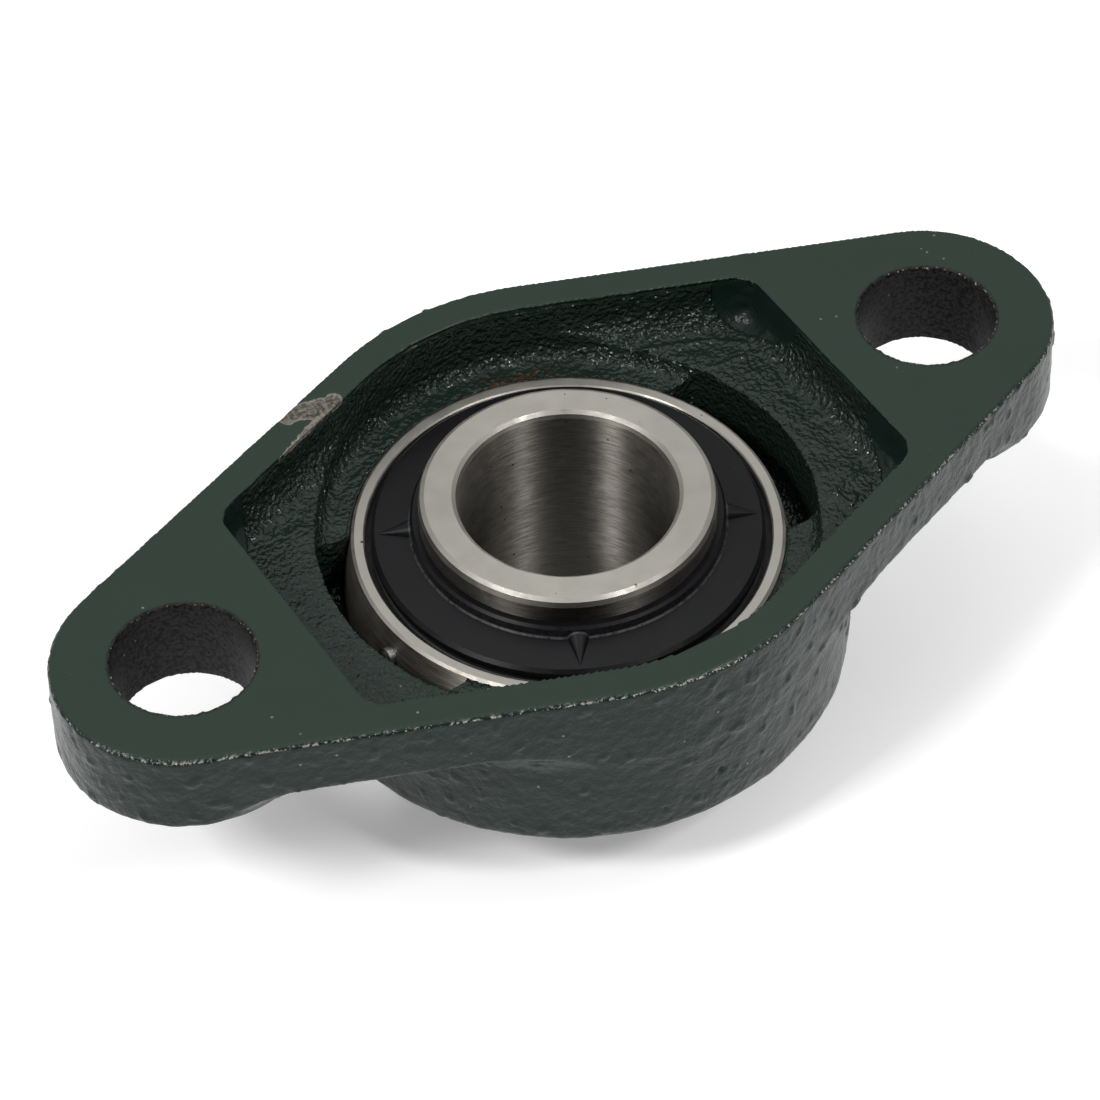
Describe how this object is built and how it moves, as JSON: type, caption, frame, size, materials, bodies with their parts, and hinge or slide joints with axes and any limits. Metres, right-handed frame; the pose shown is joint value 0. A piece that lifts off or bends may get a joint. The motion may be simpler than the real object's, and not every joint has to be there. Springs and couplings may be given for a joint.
{
  "type": "flange mount bearing",
  "caption": "Oval cast flange bearing unit: self-aligning sealed ball insert with a plain shaft bore and set screws in a bolt-on green housing.",
  "frame": {"origin": "on the mounting face, midway between the two bolt holes, on the shaft axis", "axes": "+X through the bolt holes, along the flange; +Z out of the mounting face, towards the machine wall; the nose points to -Z"},
  "size_m": [0.1292, 0.0737, 0.0358],
  "materials": {
    "housing_paint": "dark green gloss paint over rough grey iron casting",
    "ring_steel": "ground and turned hardened steel",
    "ball_steel": "polished",
    "cage_steel": "pressed sheet",
    "black_plate": "black oxide, satin",
    "seal_rubber": "moulded nitrile",
    "screw_steel": "black oxide",
    "zinc_plate": "zinc plated"
  },
  "bodies": {
    "housing": {"housing": "housing_paint", "grease_nipple_body": "zinc_plate", "grease_nipple_spring": "cage_steel"},
    "pin": {"locating_pin": "ring_steel"},
    "outer": {"outer_ring": "ring_steel", "seal_plate_back": "black_plate", "seal_plate_front": "black_plate", "seal_lip_back": "seal_rubber", "seal_lip_front": "seal_rubber"},
    "inner": {"inner_ring": "ring_steel", "flinger_back": "black_plate", "flinger_front": "black_plate"},
    "cage": {"cage_half_back": "cage_steel", "cage_half_front": "cage_steel", "cage_rivets": "cage_steel"},
    "set_screw_1": {"set_screw_1": "screw_steel"},
    "set_screw_2": {"set_screw_2": "screw_steel"},
    "grease_nipple_ball": {"grease_nipple_ball": "ball_steel"},
    "ball_1": {"ball_1": "ball_steel"},
    "ball_2": {"ball_2": "ball_steel"},
    "ball_3": {"ball_3": "ball_steel"},
    "ball_4": {"ball_4": "ball_steel"},
    "ball_5": {"ball_5": "ball_steel"},
    "ball_6": {"ball_6": "ball_steel"},
    "ball_7": {"ball_7": "ball_steel"},
    "ball_8": {"ball_8": "ball_steel"},
    "ball_9": {"ball_9": "ball_steel"}
  },
  "joints": [
    {"name": "align_along_slot", "type": "hinge", "parent": "housing", "child": "pin", "pos_m": [0, 0, -0.016], "axis": [0.1115, -0.9938, 0], "range_deg": [-3, 3]},
    {"name": "align_about_pin", "type": "hinge", "parent": "pin", "child": "outer", "pos_m": [0, 0, -0.016], "axis": [-0.9774, -0.1096, 0.1805], "range_deg": [-3, 3]},
    {"name": "shaft_spin", "type": "hinge", "parent": "outer", "child": "inner", "pos_m": [0, 0, -0.016], "axis": [0, 0, 1], "continuous": true},
    {"name": "cage_spin", "type": "hinge", "parent": "outer", "child": "cage", "pos_m": [0, 0, -0.016], "axis": [0, 0, 1], "continuous": true},
    {"name": "ball_1_spin", "type": "hinge", "parent": "cage", "child": "ball_1", "pos_m": [0.01952, 0, -0.016], "axis": [0, 0, 1], "continuous": true},
    {"name": "ball_2_spin", "type": "hinge", "parent": "cage", "child": "ball_2", "pos_m": [0.01495, 0.01255, -0.016], "axis": [0, 0, 1], "continuous": true},
    {"name": "ball_3_spin", "type": "hinge", "parent": "cage", "child": "ball_3", "pos_m": [0.00339, 0.01922, -0.016], "axis": [0, 0, 1], "continuous": true},
    {"name": "ball_4_spin", "type": "hinge", "parent": "cage", "child": "ball_4", "pos_m": [-0.00976, 0.0169, -0.016], "axis": [0, 0, 1], "continuous": true},
    {"name": "ball_5_spin", "type": "hinge", "parent": "cage", "child": "ball_5", "pos_m": [-0.01834, 0.00668, -0.016], "axis": [0, 0, 1], "continuous": true},
    {"name": "ball_6_spin", "type": "hinge", "parent": "cage", "child": "ball_6", "pos_m": [-0.01834, -0.00668, -0.016], "axis": [0, 0, 1], "continuous": true},
    {"name": "ball_7_spin", "type": "hinge", "parent": "cage", "child": "ball_7", "pos_m": [-0.00976, -0.0169, -0.016], "axis": [0, 0, 1], "continuous": true},
    {"name": "ball_8_spin", "type": "hinge", "parent": "cage", "child": "ball_8", "pos_m": [0.00339, -0.01922, -0.016], "axis": [0, 0, 1], "continuous": true},
    {"name": "ball_9_spin", "type": "hinge", "parent": "cage", "child": "ball_9", "pos_m": [0.01495, -0.01255, -0.016], "axis": [0, 0, 1], "continuous": true},
    {"name": "set_screw_1_travel", "type": "slide", "parent": "inner", "child": "set_screw_1", "axis": [-0.866, -0.5, 0], "range_m": [-0.0005, 0.002]},
    {"name": "set_screw_2_travel", "type": "slide", "parent": "inner", "child": "set_screw_2", "axis": [0.866, -0.5, 0], "range_m": [-0.0005, 0.002]},
    {"name": "nipple_ball_travel", "type": "slide", "parent": "housing", "child": "grease_nipple_ball", "axis": [0, 1, 0], "range_m": [-0.0008, 0], "stiffness_N_per_m": 800, "springref_m": 0.001, "deforming": ["grease_nipple_spring"]}
  ],
  "couplings": [
    {"joint": "cage_spin", "follows": "shaft_spin", "ratio": 0.39833},
    {"joint": "ball_1_spin", "follows": "shaft_spin", "ratio": -2.3574},
    {"joint": "ball_2_spin", "follows": "shaft_spin", "ratio": -2.3574},
    {"joint": "ball_3_spin", "follows": "shaft_spin", "ratio": -2.3574},
    {"joint": "ball_4_spin", "follows": "shaft_spin", "ratio": -2.3574},
    {"joint": "ball_5_spin", "follows": "shaft_spin", "ratio": -2.3574},
    {"joint": "ball_6_spin", "follows": "shaft_spin", "ratio": -2.3574},
    {"joint": "ball_7_spin", "follows": "shaft_spin", "ratio": -2.3574},
    {"joint": "ball_8_spin", "follows": "shaft_spin", "ratio": -2.3574},
    {"joint": "ball_9_spin", "follows": "shaft_spin", "ratio": -2.3574}
  ]
}
